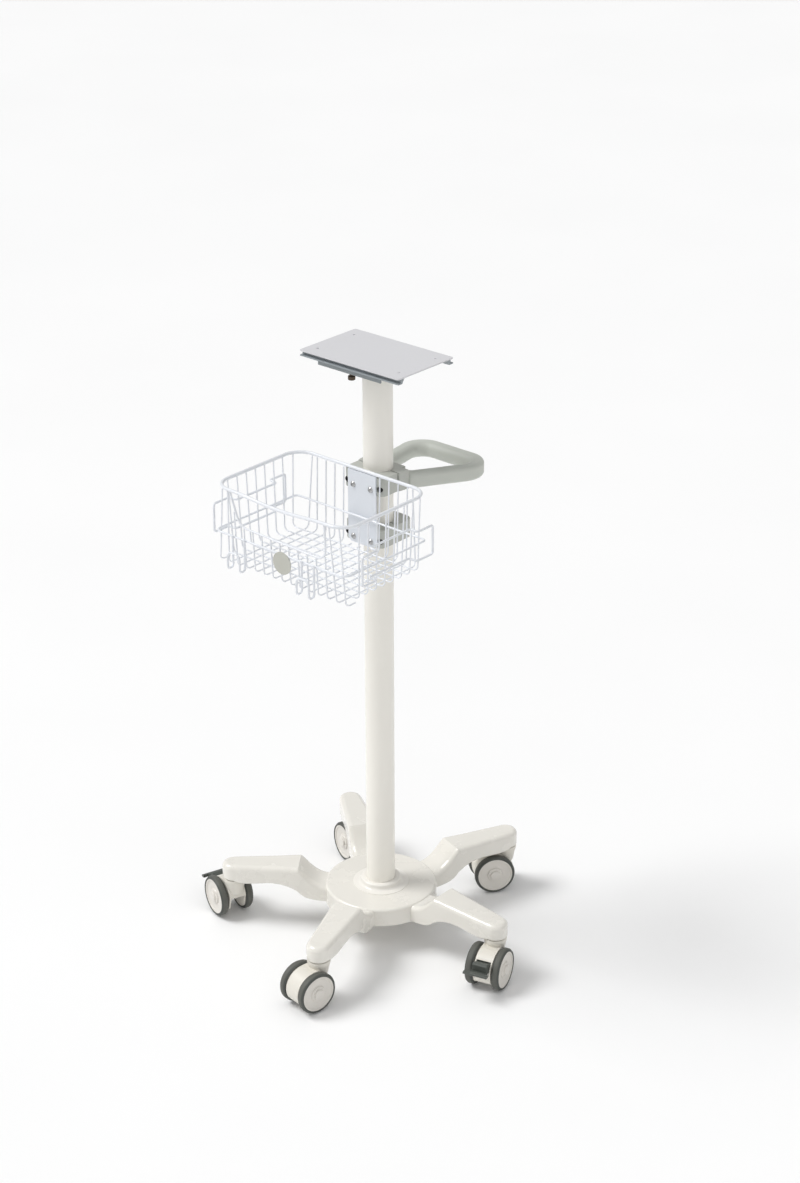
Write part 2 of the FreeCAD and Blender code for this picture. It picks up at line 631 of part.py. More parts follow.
uf = clamp_half("UpperClampFront", [(-ch, -gp), (-ch, -cf, 12.0), (ch, -cf, 12.0), (ch, -gp)], u0, u1)
long_edges_fillet(uf, 1.2, u0, u1, outer)
tg, ty2 = S("tongue_half"), S("tongue_y")
ur = clamp_half("UpperClampRear", [(-ux + 3.5, gp), (ux - 3.5, gp), (ux, S("up_rear")), (tg, S("up_rear")), (tg, ty2), (-tg, ty2), (-tg, S("up_rear")), (-ux, S("up_rear"))], u0, u1)
lf = clamp_half("LowerClampFront", [(-lx, -gp), (-lx, -cf, 10.0), (lx, -cf, 10.0), (lx, -gp)], l0, l1)
long_edges_fillet(lf, 1.2, l0, l1, outer)
lr = clamp_half("LowerClampRear", [(-lx, gp), (lx, gp), (lx, S("lo_rear"), 15.0), (-lx, S("lo_rear"), 15.0)], l0, l1)
long_edges_fillet(lr, 1.2, l0, l1, outer)
doc.recompute()


def screw_holes(b, zmid, front, depth, cbore, rear=False):
    """Clamp-screw holes at +-screw_x: through the front half with a counterbore,
    blind in the rear half."""
    tools = []
    for sgn in (-1, 1):
        if not rear:
            tools.append(cyl(3.2, 60, sx * sgn, Q(-60, "(0 - 60.0)"), zmid, (0, 1, 0)))
            tools.append(cyl(cbore, 8.0 + 20, sx * sgn, -cf - 20.0, zmid, (0, 1, 0)))
        else:
            tools.append(cyl(2.9, depth + 2, sx * sgn, gp - 2.0, zmid, (0, 1, 0)))
    return cut(b, fuse(tools, b.Name + "ScrewTools"), b.Name + "Drilled")


def threads(b, zmid, sgns=(-1, 1)):
    return cut(b, fuse([cyl(2.6, 14.0, S("dome_x") * s_, -cf - 1.0, zmid, (0, 1, 0)) for s_ in sgns], b.Name + "TapTools"), b.Name + "Tapped")


um, lm = (u0 + u1) / 2 - 4.0, (l0 + l1) / 2 - 4.0
node(threads(screw_holes(uf, um, True, 0, 5.4), S("dome_up")), "upper_clamp_front")
px_ = S("pin_x")
node(cut(screw_holes(ur, um, False, 14, 0, True), fuse([cyl(3.05, 8.0, px_ * s_, ty2 - 6.0, S("loop_z"), (0, 1, 0)) for s_ in (-1, 1)], "ClampPinTools"), "ClampBored"), "handle_clamp_rear")
node(threads(screw_holes(lf, lm, True, 0, 5.4), S("dome_lo")), "lower_clamp_front")
node(screw_holes(lr, lm, False, 14, 0, True), "lower_clamp_rear")
cs = []
for zc in (um, lm):
    for sgn in (-1, 1):
        head_c = cyl(5.0, 6.0, sx * sgn, -cf + 2.0, zc, (0, 1, 0))
        shank_c = cyl(2.9, cf + gp + 4.0, sx * sgn, -cf + 8.0, zc, (0, 1, 0))
        key = doc.addObject("Part::Prism", "Key")
        key.Polygon = 6
        key.Circumradius = 2.7
        key.Height = 3.0
        key.Placement = FreeCAD.Placement(V3(sx.v * sgn, -cf.v + 2.0, zc.v), FreeCAD.Rotation(V3(0, 0, 1), V3(0, 1, 0)))
        key.setExpression(".Placement.Base.x", (sx * sgn).e)
        key.setExpression(".Placement.Base.y", (-cf + 2.0).e)
        key.setExpression(".Placement.Base.z", zc.e)
        cs.append(cut(fuse([head_c, shank_c]), key, "ClampScrew"))
node(group(cs, "ClampScrews"), "clamp_screws")

# push handle: one moulded closed loop, flat outside and round inside
loop = new_body("HandleLoop")
w2, h2_, zc = S("loop_w") / 2, S("loop_tall") / 2, S("loop_z")
path = body_sketch(loop, "LoopPath", "XY_Plane", zc)
outline(path, [(10, 30), (-26, 30, 14.0), (-45, 155, 31.0), (120, 155, 27.0), (44, 30, 14.0)])
sk = body_sketch(loop, "LoopSection", "YZ_Plane", 10)
outline(sk, [(30 - w2, zc - h2_, 7.0), (30 - w2, zc + h2_, 7.0), (30 + w2, zc + h2_, 12.0), (30 + w2, zc - h2_, 12.0)])
doc.recompute()
pipe = loop.newObject("PartDesign::AdditivePipe", "LoopSweep")
pipe.Profile = sk
pipe.Spine = (path, ["Edge%d" % (i + 1) for i in range(len(path.Shape.Edges))])
pipe.Mode = 0
pipe.Transition = 0
doc.recompute()
sk = body_sketch(loop, "LoopRootCut", "XY_Plane", zc - 40.0)
outline(sk, [(-120.0, -40.0), (150.0, -40.0), (150.0, S("up_rear")), (-120.0, S("up_rear"))])
rc = loop.newObject("PartDesign::Pocket", "LoopRootFlat")
rc.Profile = sk
rc.Type = 0
rc.Length = 80.0
rc.Reversed = True
doc.recompute()
print("loop sweep", round(pipe.Shape.Volume), "after root flat", round(rc.Shape.Volume), len(rc.Shape.Solids))
sk = body_sketch(loop, "LoopTongueCut", "XY_Plane", zc - 40.0)
outline(sk, [(-tg, S("up_rear") - 5.0), (tg, S("up_rear") - 5.0), (tg, ty2), (-tg, ty2)])
tc_ = loop.newObject("PartDesign::Pocket", "LoopTongueSlot")
tc_.Profile = sk
tc_.Type = 0
tc_.Length = 80.0
tc_.Reversed = True
doc.recompute()
node(cut(loop, fuse([cyl(3.05, 8.0, px_ * s_, ty2 - 1.0, zc, (0, 1, 0)) for s_ in (-1, 1)], "LoopPinTools"), "LoopBored"), "handle_loop")
node(group([cyl(3.0, 12.0, px_ * s_, ty2 - 5.6, zc, (0, 1, 0)) for s_ in (-1, 1)], "HandlePins"), "handle_pins")

# ------------------------------------------------------------------ bracket plate
bp = new_body("BracketPlate")
sk = body_sketch(bp, "BracketOutline", "XZ_Plane", cf)
bh, b0, b1 = S("bp_half"), S("bp_z0"), S("bp_z1")
outline(sk, [(-bh, b0 + 6.0), (-bh + 6.0, b0), (bh - 6.0, b0), (bh, b0 + 6.0), (bh, b1), (-bh, b1)])
pad(bp, sk, S("bp_th"), "BracketSheet")
doc.recompute()
for k, (sgn, zz) in enumerate(((-1, S("dome_up")), (1, S("dome_up")), (-1, S("dome_lo")), (1, S("dome_lo")))):
    sk = body_sketch(bp, "BracketHole%d" % k, "XZ_Plane", cf)
    ring_sketch(sk, S("dome_x") * sgn, zz, 2.8)
    c = bp.newObject("PartDesign::Pocket", "BracketHoleCut%d" % k)
    c.Profile = sk
    c.Type = 0
    bind(c, "Length", S("bp_th") + 1.0)
    c.Reversed = True
    doc.recompute()
print("bracket plate y", round(bp.Shape.BoundBox.YMin, 2), round(bp.Shape.BoundBox.YMax, 2), "volume", round(bp.Shape.Volume))
node(bp, "bracket_plate")
ds = []
for sgn in (-1, 1):
    for zz in (S("dome_up"), S("dome_lo")):
        x_ = S("dome_x") * sgn
        ball = doc.addObject("Part::Sphere", "DomeBall")
        ball.Radius = 5.9
        place(ball, x_, -cf - S("bp_th") + 2.3, zz)
        keep = box(x_ - 8.0, x_ + 8.0, -cf - S("bp_th") - 8.0, -cf - S("bp_th"), zz - 8.0, zz + 8.0)
        cap = doc.addObject("Part::Common", "DomeCap")
        cap.Base, cap.Tool = ball, keep
        key = cyl(1.6, 1.8, x_, -cf - S("bp_th") - 4.0, zz, (0, 1, 0))
        ds.append(cut(fuse([cap, cyl(2.5, 13.0, x_, -cf - S("bp_th") - 0.5, zz, (0, 1, 0))]), key, "DomeScrew"))
node(group(ds, "DomeScrews"), "basket_screws")


# ------------------------------------------------------------------ wire basket
def filleted_path(points, radii):
    """Straight runs joined by tangent arcs, as one wire."""
    P = [V3(*p) for p in points]
    edges_, cur = [], P[0]
    for i in range(1, len(P) - 1):
        r = radii[i - 1] if isinstance(radii, (list, tuple)) else radii
        u, w = P[i - 1] - P[i], P[i + 1] - P[i]
        u.normalize()
        w.normalize()
        ang = math.acos(max(-1, min(1, u.dot(w))))
        if r <= 0 or math.pi - ang < 1e-3:
            edges_.append(Part.LineSegment(cur, P[i]).toShape())
            cur = P[i]
            continue
        d = r / math.tan(ang / 2)
        bis = u + w
        bis.normalize()
        ctr = P[i] + bis * (r / math.sin(ang / 2))
        a, b = P[i] + u * d, P[i] + w * d
        mid = ctr + (P[i] - ctr) * (r / (P[i] - ctr).Length)
        if (a - cur).Length > 1e-6:
            edges_.append(Part.LineSegment(cur, a).toShape())
        edges_.append(Part.Arc(a, mid, b).toShape())
        cur = b
    if (P[-1] - cur).Length > 1e-6:
        edges_.append(Part.LineSegment(cur, P[-1]).toShape())
    return Part.Wire(edges_)


def closed_path(points, radii):
    """Closed ring of straight runs and tangent arcs."""
    P = [V3(*p) for p in points]
    n = len(P)
    ends = []
    for i in range(n):
        r = radii[i] if isinstance(radii, (list, tuple)) else radii
        u, w = P[i - 1] - P[i], P[(i + 1) % n] - P[i]
        u.normalize()
        w.normalize()
        ang = math.acos(max(-1, min(1, u.dot(w))))
        d = r / math.tan(ang / 2)
        bis = u + w
        bis.normalize()
        ctr = P[i] + bis * (r / math.sin(ang / 2))
        ends.append((P[i] + u * d, ctr + (P[i] - ctr) * (r / (P[i] - ctr).Length), P[i] + w * d))
    e = []
    for i in range(n):
        e.append(Part.Arc(*ends[i]).toShape())
        a, b = ends[i][2], ends[(i + 1) % n][0]
        if (b - a).Length > 1e-6:
            e.append(Part.LineSegment(a, b).toShape())
    return Part.Wire(e)


def rod(path, dia):
    """Round wire of one diameter along a path."""
    e0 = path.OrderedEdges[0]
    p = e0.valueAt(e0.FirstParameter)
    t_ = e0.tangentAt(e0.FirstParameter)
    if (p - path.OrderedVertexes[0].Point).Length > 1e-6:
        p = e0.valueAt(e0.LastParameter)
        t_ = e0.tangentAt(e0.LastParameter) * -1
    prof = Part.Wire([Part.Circle(p, t_, dia / 2).toShape()])
    solid = path.makePipeShell([prof], True, True)
    if isinstance(solid, Part.Shape) and solid.ShapeType == "Shell":
        solid = Part.Solid(solid)
    if solid.Volume < 0:
        solid.reverse()
    return solid


def wires_node(label, solids):
    """A set of welded wires, built from the sheet's sizes."""
    o = doc.addObject("Part::Feature", label)
    o.Shape = Part.makeCompound(solids) if len(solids) > 1 else solids[0]
    bad = [s for s in solids if s.isNull() or not s.isValid() or s.Volume <= 0]
    if bad:
        raise RuntimeError("bad wire in " + label)
    return node(o, label)


g_ = sheet.get
hx, y0, y1, zr, dr, rc_ = [float(sheet.get(a)) for a in ("rim_hx", "rim_y0", "rim_y1", "rim_z", "rim_wire", "rim_corner")]
dw, dbelt, zb, zf, fin, wb = [float(sheet.get(a)) for a in ("wire", "belt_wire", "belt_z", "floor_z", "foot_in", "wire_bend")]
mz, mx0, mx1 = [float(sheet.get(a)) for a in ("mouth_z", "mouth_x0", "mouth_x1")]

# rim: closed tube whose front run dips slightly in the middle
dip = 5.0
e = []


def corner(cx_, cy_, a0, a1, z):
    p = [V3(cx_ + rc_ * math.cos(math.radians(a)), cy_ + rc_ * math.sin(math.radians(a)), z) for a in (a0, (a0 + a1) / 2, a1)]
    return Part.Arc(*p).toShape()


e.append(corner(hx - rc_, y1 - rc_, 0, 90, zr))
e.append(Part.LineSegment(V3(hx - rc_, y1, zr), V3(-hx + rc_, y1, zr)).toShape())
e.append(corner(-hx + rc_, y1 - rc_, 90, 180, zr))
e.append(Part.LineSegment(V3(-hx, y1 - rc_, zr), V3(-hx, y0 + rc_, zr)).toShape())
e.append(corner(-hx + rc_, y0 + rc_, 180, 270, zr))
span = 2 * (hx - rc_)
xa, xb = -hx + rc_, hx - rc_
# three tangent arcs in the vertical front plane: down, along, up
q_ = span / 4
rad_dip = (q_ * q_ + (dip / 2) ** 2) / dip
za, zm_, zlow = zr, zr - dip / 2, zr - dip


def arc_pts(xs, f_):
    return [V3(x_, y0, f_(x_)) for x_ in xs]


def top_arc(x_):
    return zr - rad_dip + math.sqrt(rad_dip ** 2 - (x_ - xa) ** 2)


def low_arc(x_):
    return zlow + rad_dip - math.sqrt(rad_dip ** 2 - (x_ - (xa + xb) / 2) ** 2)


def top_arc_r(x_):
    return zr - rad_dip + math.sqrt(rad_dip ** 2 - (x_ - xb) ** 2)


e.append(Part.Arc(*arc_pts([xa, xa + q_ / 2, xa + q_], top_arc)).toShape())
e.append(Part.Arc(*arc_pts([xa + q_, (xa + xb) / 2, xb - q_], low_arc)).toShape())
e.append(Part.Arc(*arc_pts([xb - q_, xb - q_ / 2, xb], top_arc_r)).toShape())
e.append(corner(hx - rc_, y0 + rc_, 270, 360, zr))
e.append(Part.LineSegment(V3(hx, y0 + rc_, zr), V3(hx, y1 - rc_, zr)).toShape())
wires_node("basket_rim", [rod(Part.Wire(Part.__sortEdges__(e)), dr)])


def front_rim_z(x_):
    if x_ < xa or x_ > xb:
        return zr
    if x_ < xa + q_:
        return top_arc(x_)
    if x_ > xb - q_:
        return top_arc_r(x_)
    return low_arc(x_)


# wall wires hang just under the rim tube, slope inwards and bend into the floor
wall_top = zr - dr / 2 - 0.05
pitch, side_pitch = 20.1, 21.8
front_ks = list(range(-7, 8))
side_ys = [-57.0 - side_pitch * k for k in range(8)]
ybf, ybr, xbs = y0 + fin + 2, y1 - fin - 1, hx - fin
fz_low, fz_high = zf, zf + dw + 0.04


def slope_pt(top_pt, bot_pt, z_):
    f = (top_pt[2] - z_) / (top_pt[2] - bot_pt[2])
    return tuple(top_pt[i] + (bot_pt[i] - top_pt[i]) * f for i in range(3))


# mouth: heavier U wire round the drop-front opening; its foot slopes a little
mz0, mz1 = float(sheet.get("mouth_z0")), mz


def mouth_low(x_):
    return mz0 + (mz1 - mz0) * (x_ + 91) / 193


seam = 22.0
front_w, rear_w, left_w, right_w, floor_w = [], [], [], [], []
for k in front_ks:
    # the floor is squarer than the rim, so the outer wires splay outwards
    xb_ = pitch * k
    sg = -1.0 if k < 0 else 1.0
    xt_ = {6: 112.0, 7: 129.5}.get(abs(k), abs(xb_)) * sg
    yt_ = y0 if abs(k) < 7 else y0 + rc_ - math.sqrt(rc_ ** 2 - (abs(xt_) - hx + rc_) ** 2)
    top = (xt_, yt_, front_rim_z(xt_) - dr / 2 - 0.05)
    bot = (xb_, ybf, fz_low)
    if abs(k) <= 5:
        low = {-5: 862.0, 5: 839.8}.get(k, mouth_low(xb_) - dbelt / 2 - 0.05)
        top = slope_pt(top, bot, low)
    front_w.append(rod(filleted_path([top, bot, (xb_, ybf + seam, fz_low)], wb), dw))
rear_in = 2.6
for k in front_ks:
    # none behind the bracket plate or in the rounded corners
    xb_ = pitch * k
    if abs(xb_) > VAL["bp_half"] + 2 and abs(k) < 7:
        xt_ = max(-112.0, min(112.0, xb_))
        top = (xt_, y1 - rear_in, zr - math.sqrt((dr / 2) ** 2 - (rear_in - dw / 2) ** 2) - 0.08)
        rear_w.append(rod(filleted_path([top, (xb_, ybr, fz_low), (xb_, ybr - seam, fz_low)], wb), dw))
for y_ in side_ys:
    yb_ = ybf + (y_ - y0) * (ybr - ybf) / (y1 - y0)
    for sgn, lst in ((-1, left_w), (1, right_w)):
        top = (sgn * hx, y_, wall_top)
        if y_ < y0 + rc_ - 3 or y_ > y1 - rc_ + 3:
            # near the corner the wire starts on the rounded part of the rim
            dy_ = (y0 + rc_ - y_) if y_ < y0 + rc_ else (y_ - (y1 - rc_))
            top = (sgn * (hx - rc_ + math.sqrt(max(0.0, rc_ ** 2 - dy_ ** 2))), y_, wall_top)
        bot = (sgn * xbs if abs(top[0]) > xbs else top[0], yb_, fz_high)
        lst.append(rod(filleted_path([top, bot, (sgn * (xbs - seam), yb_, fz_high)], wb), dw))
for k in front_ks[1:-1]:
    xb_ = pitch * k
    ya, yb2 = ybf + seam + 0.02, ybr - seam - 0.02
    if abs(xb_) < VAL["bp_half"] + 2:
        yb2 = ybr - 2.0
    floor_w.append(rod(filleted_path([(xb_, ya, fz_low), (xb_, yb2, fz_low)], 0), dw))
for y_ in side_ys:
    yb_ = ybf + (y_ - y0) * (ybr - ybf) / (y1 - y0)
    floor_w.append(rod(filleted_path([(-(xbs - seam) + 0.02, yb_, fz_high), (xbs - seam - 0.02, yb_, fz_high)], 0), dw))

def y_front(z_):
    f = (wall_top - z_) / (wall_top - fz_low)
    return y0 + (ybf - y0) * f


mouth = rod(filleted_path([(mx0, y_front(wall_top), front_rim_z(mx0) - dr / 2 - 0.05), (mx0 + 18, y_front(mz0), mz0),
                           (mx1, y_front(mz1), mz1), (mx1, y_front(wall_top), front_rim_z(mx1) - dr / 2 - 0.05)], [24.0, 20.0]), dbelt)
wires_node("basket_mouth_wire", [mouth])
wires_node("basket_front", front_w)
wires_node("basket_rear", rear_w)
wires_node("basket_left", left_w)
wires_node("basket_right", right_w)
wires_node("basket_floor", floor_w)

# belt: horizontal wire outside the wall wires
zo = zb


def wall_inset(z_):
    return (wall_top - z_) / (wall_top - fz_low)


off = dw / 2 + dbelt / 2 + 0.05
bx = hx - (hx - xbs) * wall_inset(zb) + off
byf = y0 + (ybf - y0) * wall_inset(zb) - off
byr = y1 - rear_in + (ybr - y1 + rear_in) * wall_inset(zb) - off
belt = closed_path([(bx, byf, zb), (bx, byr, zb), (-bx, byr, zb), (-bx, byf, zb)], [14.0, 8.0, 8.0, 14.0])
wires_node("basket_belt", [rod(belt, dbelt)])


# cord wraps: one bent closed wire on each short side
wo, wt, wbm, ww = [float(sheet.get(a)) for a in ("wrap_out", "wrap_top", "wrap_bot", "wrap_wire")]
for sgn, label in ((-1, "left_cord_wrap"), (1, "right_cord_wrap")):
    xi = sgn * (hx + ww / 2 + dw / 2 + 0.05)
    xo = xi + sgn * wo
    pts = [(xi, -188, wt), (xi, -91, wt), (xo, -91, wt), (xo, -53, wt), (xo, -53, wbm), (xo, -93, wbm), (xi, -93, wbm),
           (xi, -190, wbm), (xo, -190, wbm), (xo, -224, wbm), (xo, -224, wt), (xo, -188, wt)]
    wires_node(label, [rod(closed_path(pts, 5.0), ww)])

# hooks: two double-J hooks hanging from the belt at the front
dh = float(sheet.get("hook_wire"))
yh = byf - dbelt / 2 - dh / 2 - 0.05
hk = []
for xc in (-88.0, 67.0):
    half = 13.5
    pts = [(xc - half, yh, zb + 3), (xc - half, yh, 766), (xc - half, yh - 12.5, 766), (xc - half, yh - 12.5, 797), (xc + half, yh - 12.5, 797),
           (xc + half, yh - 12.5, 766), (xc + half, yh, 766), (xc + half, yh, zb + 3)]
    hk.append(rod(filleted_path(pts, [5.8, 5.8, 9.5, 9.5, 5.8, 5.8]), dh))
wires_node("basket_hooks", hk)

# plain round badge on the front wires
br_, bzc, bxc = S("badge_rad"), S("badge_z"), S("badge_x")
yb_front = y_front(VAL["badge_z"]) - dw / 2 - 0.9
badge = cyl(br_, 1.6, bxc, Q(yb_front - 1.6 - dbelt, "(%r)" % (yb_front - 1.6 - dbelt)), bzc, (0, 1, 0))
node(group([badge], "BadgeHold"), "badge_disc")

# ------------------------------------------------------------------ casters
LET = ["a", "b", "c", "d", "e"]
wr, ti, tr, ht, tl, ar = [S(k) for k in ("wheel_rad", "tyre_in", "tread", "half_track", "trail", "axle_rad")]
fr, fi, fh, nr, nt = [S(k) for k in ("fender_rad", "fender_in", "fender_half", "neck_rad", "neck_top")]


def stem_xy(l):
    return (Q(VAL["stem_circle"] * math.cos(math.radians(VAL["ang_" + l])), "(Sheet.stem_circle * cos(Sheet.ang_%s * 1 deg))" % l),
            Q(VAL["stem_circle"] * math.sin(math.radians(VAL["ang_" + l])), "(Sheet.stem_circle * sin(Sheet.ang_%s * 1 deg))" % l))


stems = []
for l in LET:
    st = spun("Stem" + l.upper(), [(0, 68.0), (4.2, 68.0), (4.95, 69.0), (4.95, nt + 0.5), (15.5, nt + 0.5), (15.5, S("tip_bot") - 0.05), (5.0, S("tip_bot") - 0.05),
                                   (5.0, 106.0), (4.2, 107.0), (0, 107.0)])
    sxx, syy = stem_xy(l)
    place(st, sxx, syy, 0)
    stems.append(st)
node(group(stems, "CasterStems"), "caster_stems")

for l in LET:
    U = l.upper()
    sxx, syy = stem_xy(l)
    sw = S("swivel_" + l)
    # fork housing: swivel neck over a fender shell between the wheels
    body_c = cyl(fr, fh * 2, tl, -fh, wr, (0, 1, 0))
    neck = spun("Neck" + U, [(0, 50.0), (14.0, 50.0, 6.0), (nr - 2.2, 70.0, 6.0), (nr - 0.6, 77.5), (nr, 78.3), (nr, nt, 1.0), (0, nt)])
    chin = extruded("Chin" + U, [(Q(-11.5, "(0 - 11.5)"), 72.0), (Q(-12.5, "(0 - 12.5)"), 46.0, 10.0), (tl - 24.0, 18.5, 6.0), (tl, 18.5), (tl, 72.0)],
                    "XZ", (0, 1, 0), fh * 2, ("y", -fh))
    chin_cut = doc.addObject("Part::Common", "ChinRound" + U)
    chin_cut.Base = chin
    chin_cut.Tool = cyl(38.0, fh * 2, tl, -fh, wr, (0, 1, 0))
    shell = fuse([body_c, chin_cut, neck], "HousingSolid" + U)
    cavity = cyl(fi, fh * 2 - 5.0, tl, -fh + 2.5, wr, (0, 1, 0))
    under = box(-20.0, tl * 1.0 + 60.0, -fh - 1.0, fh + 1.0, Q(-5, "(0 - 5.0)"), Q(20.5, "20.5"))
    cheek = cyl(8.0, fh * 2 - 4.0, tl, -fh + 2.0, wr, (0, 1, 0))
    core = cut(shell, cavity, "HousingHollow" + U)
    mouth_w = box(Q(-30, "(0 - 30.0)"), Q(6.0, "6.0"), -fh + 2.5, fh - 2.5, Q(0, "0.0"), Q(45, "45.0"))
    core = cut(core, mouth_w, "HousingMouth" + U)
    core = cut(core, under, "HousingOpen" + U)
    web = box(Q(0, "0.0"), tl + 4.0, Q(-1.6, "(0 - 1.6)"), Q(1.6, "1.6"), Q(30.0, "30.0"), Q(66.0, "66.0"))
    web_c = doc.addObject("Part::Common", "WebRound" + U)
    web_c.Base = web
    web_c.Tool = cyl(fi + 0.3, fh * 2, tl, -fh, wr, (0, 1, 0))
    if l not in ("a", "c"):
        core = fuse([core, web_c], "HousingWeb" + U)
    core = cut(core, cyl(ar + 0.03, fh * 2 + 4, tl, -fh - 2.0, wr, (0, 1, 0)), "HousingAxleBore" + U)
    core = cut(core, cyl(5.0, 60.0, 0, 0, 67.5), "HousingStemBore" + U)
    if l in ("a", "c"):
        slot = box(tl + 4.0, tl + 60.0, Q(-13.6, "(0 - 13.6)"), Q(13.6, "13.6"), Q(38.5, "38.5"), Q(61.5, "61.5"))
        core = cut(core, slot, "HousingPedalSlot" + U)
        core = fuse([core, cyl(2.0, fh * 2 - 2.0, S("pedal_px"), -fh + 1.0, S("pedal_pz"), (0, 1, 0))], "HousingPedalPin" + U)
    node(core, "caster_housing_" + l, x=sxx, y=syy, angle=sw)
    # axle
    node(cyl(ar, ht * 2 + 8.0, 0, 0, 0), "tmp")
    OUT.pop()
    ax = doc.ActiveObject
    ax.Label = "axle_raw_" + l
    axw = cut(ax, cyl(0.4, 1, 0, 0, -90), "Axle" + U)
    hold = group([axw], "AxleHold" + U)
    ax.setExpression(".Placement.Base.x", None)
    ax.setExpression(".Placement.Base.y", None)
    ax.Placement = FreeCAD.Placement(V3(tl.v, -(ht.v + 4.0), wr.v), FreeCAD.Rotation(V3(0, 0, 1), V3(0, 1, 0)))
    ax.setExpression(".Placement.Base.x", tl.e)
    ax.setExpression(".Placement.Base.y", (-(ht + 4.0)).e)
    ax.setExpression(".Placement.Base.z", wr.e)
    node(hold, "caster_axle_" + l, x=sxx, y=syy, angle=sw)
    # two wheels, each a hub disc with its bonded tyre
    for side, sgn in (("left", 1), ("right", -1)):
        t2 = tr / 2
        disc = spun("Disc" + U + side, [
            (ar + 0.05, -t2 + 0.3), (9.0, -t2 + 0.3), (9.0, -t2 + 2.0), (ti - 3.0, -t2 + 2.0), (ti - 2.0, -t2 + 1.2), (ti, -t2 + 1.2),
            (ti, t2 - 1.0), (ti - 2.4, t2 - 1.0), (ti - 3.8, t2 - 2.6), (14.6, t2 - 3.4), (13.2, t2 - 1.0, 0.9), (9.4, t2 - 0.6), (8.7, t2 + 2.2, 1.4),
            (0, t2 + 2.9), (0, t2 - 2.5), (ar + 0.05, t2 - 2.5)])
        tyre = spun("Tyre" + U + side, [
            (ti, -t2 + 1.2), (ti + 1.2, -t2, 0.8), (wr - 2.6, -t2, 0.8), (wr, -t2 + 3.6, 3.2), (wr, t2 - 3.6, 3.2), (wr - 2.6, t2, 0.8), (ti + 1.2, t2, 0.8), (ti, t2 - 1.0)])
        both = group([disc, tyre], "Wheel" + U + side)
        both.Placement = FreeCAD.Placement(V3(tl.v, sgn * ht.v, wr.v), FreeCAD.Rotation(V3(1, 0, 0), -90 * sgn))
        both.setExpression(".Placement.Base.x", tl.e)
        both.setExpression(".Placement.Base.y", (ht * sgn).e)
        both.setExpression(".Placement.Base.z", wr.e)
        outer_g = group([both], "WheelHold" + U + side)
        node(outer_g, "wheel_%s_%s" % (l, side), x=sxx, y=syy, angle=sw)
    if l in ("a", "c"):
        up = S("pedal_up") if l == "a" else Q(0, "0.0")
        ppx, ppz = S("pedal_px"), S("pedal_pz")
        arm_p = extruded("PedalArm" + U, [
            (Q(30.5, "30.5"), 46.5, 2.0), (Q(46, "46.0"), 44.5), (Q(60, "60.0"), 46.0), (Q(70.0, "70.0"), 47.6), (Q(83.0, "83.0"), 53.2), (Q(91.0, "91.0"), 54.0, 1.5),
            (Q(91.0, "91.0"), 58.0, 1.5), (Q(82.5, "82.5"), 58.2, 1.4), (Q(76.5, "76.5"), 53.6, 2.0), (Q(70.6, "70.6"), 52.0), (Q(69.8, "69.8"), 63.2, 2.0), (Q(64.0, "64.0"), 65.8, 2.5),
            (Q(56.0, "56.0"), 61.4), (Q(44.0, "44.0"), 57.0), (Q(31.0, "31.0"), 54.5, 3.0)],
            "XZ", (0, 1, 0), 26.4, ("y", Q(-13.2, "(0 - 13.2)")))
        bar_p = extruded("PedalBar" + U, [
            (Q(83.2, "83.2"), 53.3), (Q(91.0, "91.0"), 54.0, 1.5), (Q(91.0, "91.0"), 58.0, 1.5), (Q(83.2, "83.2"), 58.1)],
            "XZ", (0, 1, 0), 44.0, ("y", Q(-22.0, "(0 - 22.0)")))
        ped = fuse([arm_p, bar_p], "PedalSolid" + U)
        ped = cut(ped, cyl(2.05, 46, ppx, Q(-23, "(0 - 23.0)"), ppz, (0, 1, 0)), "PedalDrilled" + U)
        # turn about the pivot pin: 0 is pressed down
        turn = group([ped], "PedalTurn" + U)
        a = math.radians(num(up))
        turn.Placement = FreeCAD.Placement(V3(0, 0, 0), FreeCAD.Rotation(V3(0, 1, 0), -num(up)), V3(ppx.v, 0, ppz.v))
        hold = group([turn], "PedalHold" + U)
        node(hold, "brake_pedal_" + l, x=sxx, y=syy, angle=sw)

doc.recompute()

# ------------------------------------------------------------------ checks and export
bad = []
for o in doc.Objects:
    if any(s_ in ("Invalid", "Error") for s_ in o.State):
        bad.append((o.Name, o.Label, list(o.State)))
if bad:
    raise RuntimeError("failed objects: %s" % bad)
labels = [o.Label for o in OUT]
if len(set(labels)) != len(labels) or len(labels) > 60:
    raise RuntimeError("labels: %d of %d" % (len(set(labels)), len(labels)))
total = FreeCAD.BoundBox()
for o in OUT:
    if o.Label != "wheel":
        total.add(o.Shape.optimalBoundingBox(False, False))
for o in OUT:
    sh = o.Shape
    if sh.isNull() or not sh.isValid() or sh.Volume <= 0:
        raise RuntimeError("bad shape in " + o.Label)
for o in OUT:
    o.Shape.exportStep("parts/%s.step" % o.Label)
print("nodes", len(OUT))
print("box x %.1f %.1f  y %.1f %.1f  z %.1f %.1f" % (total.XMin, total.XMax, total.YMin, total.YMax, total.ZMin, total.ZMax))
print("centre x %.2f y %.2f" % ((total.XMin + total.XMax) / 2, (total.YMin + total.YMax) / 2))
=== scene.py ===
import math

import bpy
import bmesh
from mathutils import Matrix, Vector

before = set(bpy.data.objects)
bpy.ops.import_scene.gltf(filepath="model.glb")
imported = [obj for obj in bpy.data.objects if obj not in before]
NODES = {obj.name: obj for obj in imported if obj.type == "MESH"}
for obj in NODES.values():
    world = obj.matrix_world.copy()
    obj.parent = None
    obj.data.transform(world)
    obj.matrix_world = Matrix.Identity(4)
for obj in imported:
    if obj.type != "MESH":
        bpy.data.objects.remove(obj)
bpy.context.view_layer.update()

SX, SY = -0.00235, 0.01989          # pole axis in the row frame


